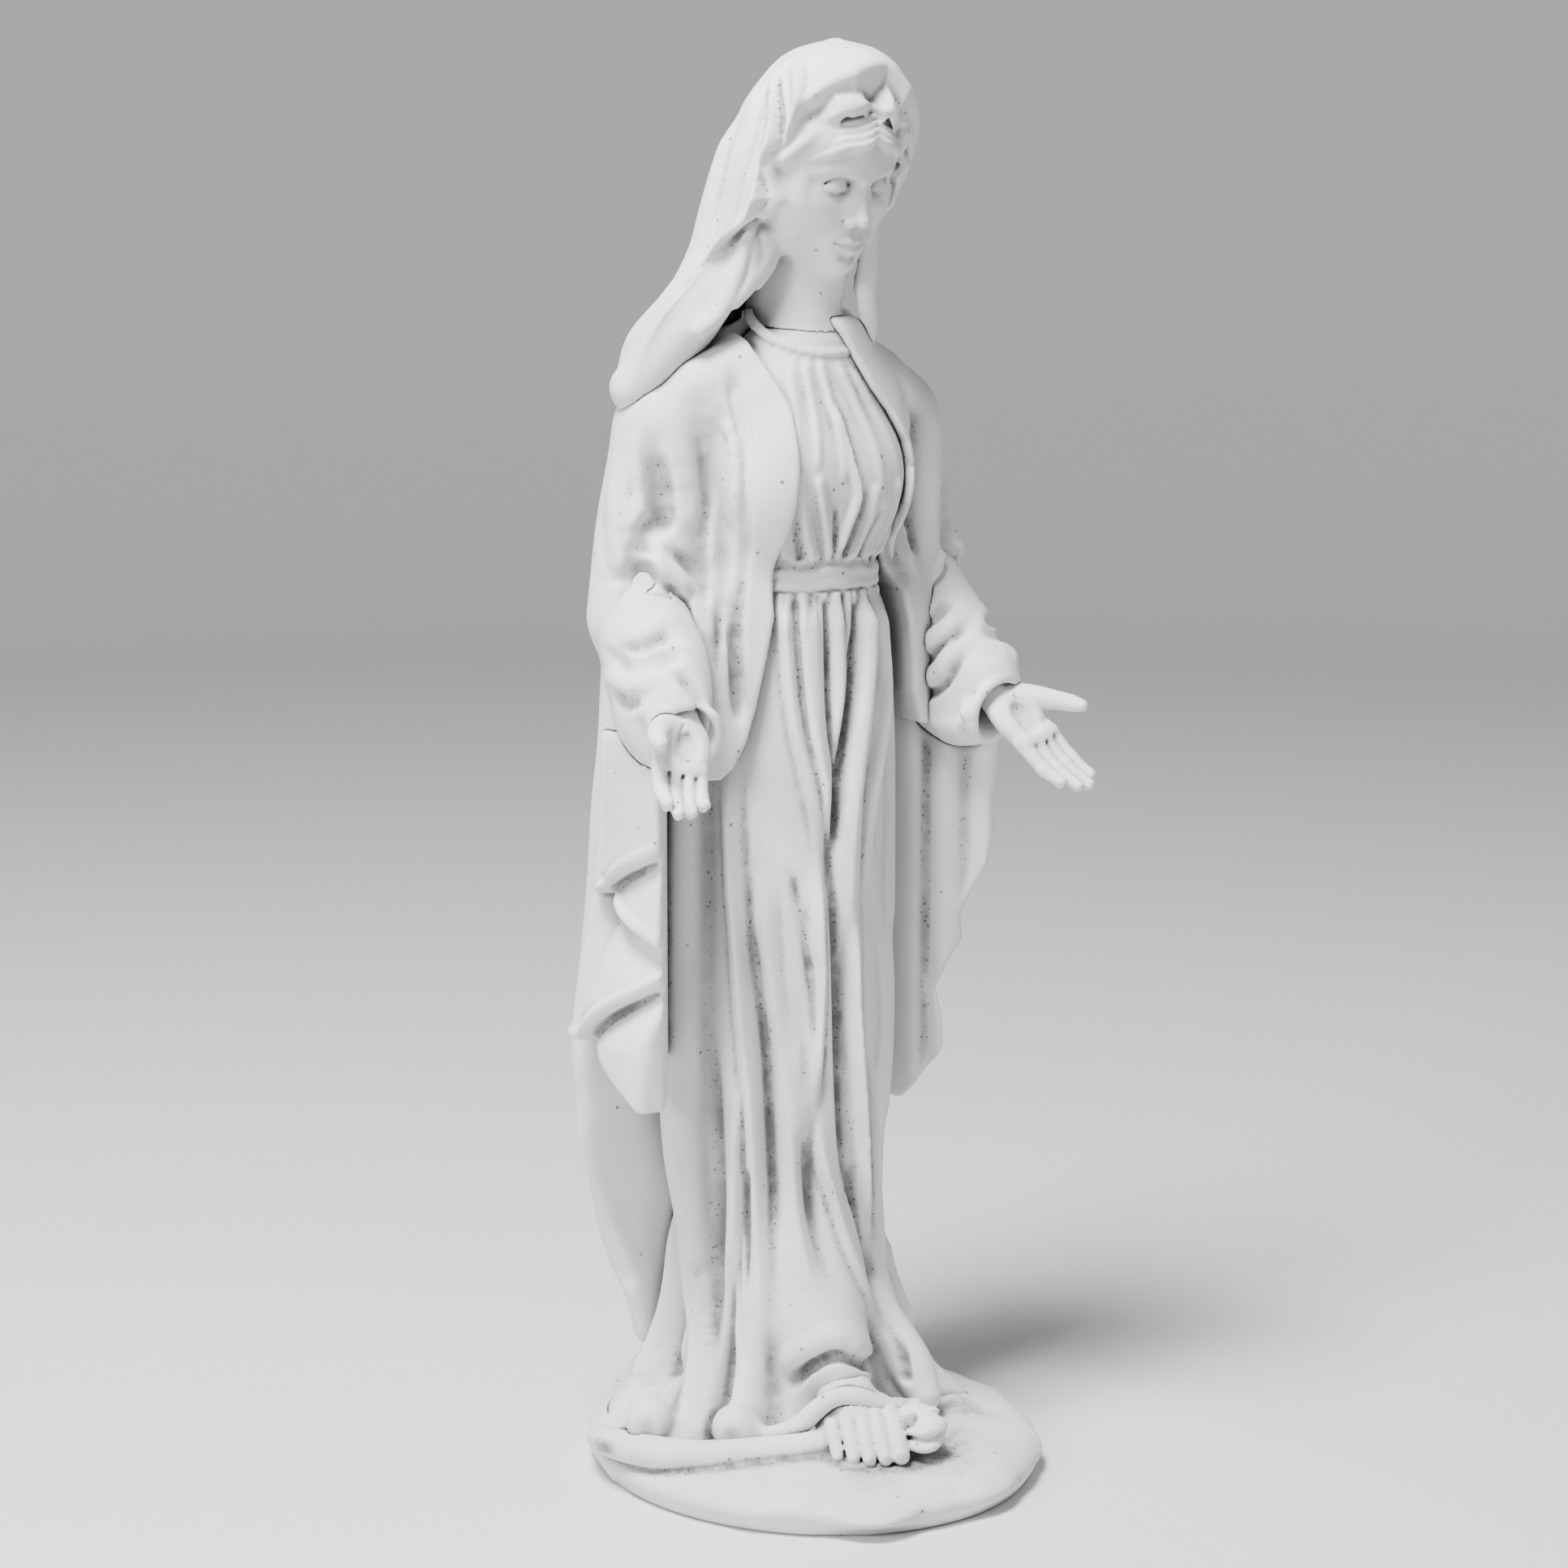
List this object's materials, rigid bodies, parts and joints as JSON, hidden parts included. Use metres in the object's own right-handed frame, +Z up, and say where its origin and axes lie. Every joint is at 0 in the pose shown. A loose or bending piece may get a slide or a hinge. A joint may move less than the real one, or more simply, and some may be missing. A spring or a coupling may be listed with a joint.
{
  "type": "madonna garden statue",
  "caption": "Standing veiled and robed woman with open lowered hands, on a rounded mound with a serpent, assembled from bonded hollow castings over steel bars.",
  "frame": {"origin": "on the ground under the middle of the mound, which is the bottom centre of the whole statue's box", "axes": "+Z up, the figure faces -Y, its left hand is on the +X side"},
  "size_m": [0.2736, 0.2766, 0.78],
  "materials": {
    "cast_magnesia": "matt off-white, with a faint grey wash left in the folds and small casting pinholes",
    "galvanised_steel": "dull zinc"
  },
  "bodies": {
    "root": {"base_casting": "cast_magnesia", "robe_casting": "cast_magnesia", "mantle_casting": "cast_magnesia", "head_casting": "cast_magnesia", "right_sleeve": "cast_magnesia", "left_sleeve": "cast_magnesia", "right_mantle_fall": "cast_magnesia", "left_mantle_fall": "cast_magnesia", "right_hand": "cast_magnesia", "left_hand": "cast_magnesia", "neck_bar": "galvanised_steel", "right_core_bar": "galvanised_steel", "left_core_bar": "galvanised_steel", "right_arm_bar": "galvanised_steel", "left_arm_bar": "galvanised_steel"}
  },
  "joints": []
}
